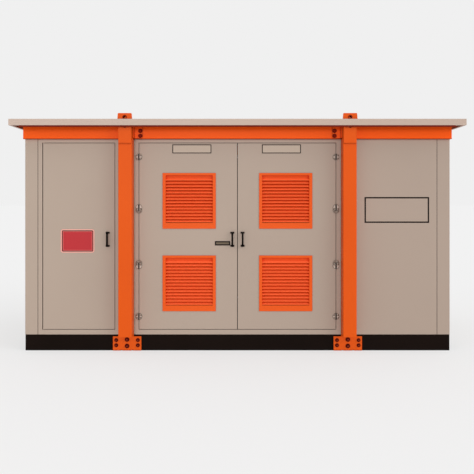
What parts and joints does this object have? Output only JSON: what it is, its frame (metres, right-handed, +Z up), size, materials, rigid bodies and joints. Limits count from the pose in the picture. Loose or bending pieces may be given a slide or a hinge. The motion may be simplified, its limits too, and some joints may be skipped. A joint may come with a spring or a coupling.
{
  "type": "compact substation housing",
  "caption": "Sheet steel cabin on a channel base, with louvred double doors, a single door, lifting columns with eyes, a top frame and an overhanging roof.",
  "frame": {"origin": "On the ground, at the middle of the footprint.", "axes": "+X along the cabin, to the right seen from the front; -Y out of the front doors; +Z up."},
  "size_m": [5.034, 2.8, 2.658],
  "materials": {
    "wall_cream": "satin powder coat, stone",
    "roof_cream": "satin powder coat, stone",
    "frame_orange": "semi-gloss orange paint",
    "base_black": "satin black paint",
    "floor_steel": "grey primer",
    "hinge_chrome": "polished die casting",
    "handle_black": "black moulding"
  },
  "bodies": {
    "cabin": {"base_long_channels": "base_black", "base_end_channels": "base_black", "base_cross_members": "base_black", "floor_plate": "floor_steel", "corner_posts": "wall_cream", "column_backing_posts": "wall_cream", "single_door_jambs": "wall_cream", "single_door_rails": "wall_cream", "single_door_stops": "wall_cream", "double_door_jambs": "wall_cream", "double_door_rails": "wall_cream", "double_door_stops": "wall_cream", "front_right_panel": "wall_cream", "left_end_panels": "wall_cream", "right_end_panels": "wall_cream", "end_wall_posts": "wall_cream", "front_top_beams": "frame_orange", "rear_top_beams": "frame_orange", "end_top_beams": "frame_orange", "lifting_columns": "frame_orange", "column_foot_plates": "frame_orange", "lifting_plates": "frame_orange", "beam_cleats": "frame_orange", "roof_front_skin": "roof_cream", "roof_rear_skin": "roof_cream", "roof_long_fascias": "roof_cream", "roof_end_fascias": "roof_cream", "roof_rafters": "roof_cream", "double_frame_hinges": "hinge_chrome", "rear_door_jambs": "wall_cream", "rear_door_rails": "wall_cream", "rear_plain_panel": "wall_cream", "rear_door_leaves": "wall_cream", "rear_louvres": "frame_orange", "rear_handles": "handle_black", "rear_hinges": "hinge_chrome"},
    "single_door": {"single_door_leaf": "wall_cream", "single_door_handle": "handle_black"},
    "double_door_left": {"double_left_leaf": "wall_cream", "double_left_louvres": "frame_orange", "double_left_handle": "handle_black", "double_left_hinges": "hinge_chrome"},
    "double_door_right": {"double_right_leaf": "wall_cream", "double_right_louvres": "frame_orange", "double_right_handle": "handle_black", "double_right_hinges": "hinge_chrome"}
  },
  "joints": [
    {"name": "single_door_swing", "type": "hinge", "parent": "cabin", "child": "single_door", "pos_m": [-2.188, -1.192, 1.29], "axis": [0, 0, -1], "range_deg": [0, 110]},
    {"name": "double_left_swing", "type": "hinge", "parent": "cabin", "child": "double_door_left", "pos_m": [-1.113, -1.208, 1.29], "axis": [0, 0, -1], "range_deg": [0, 105]},
    {"name": "double_right_swing", "type": "hinge", "parent": "cabin", "child": "double_door_right", "pos_m": [1.113, -1.208, 1.29], "axis": [0, 0, 1], "range_deg": [0, 105]}
  ]
}
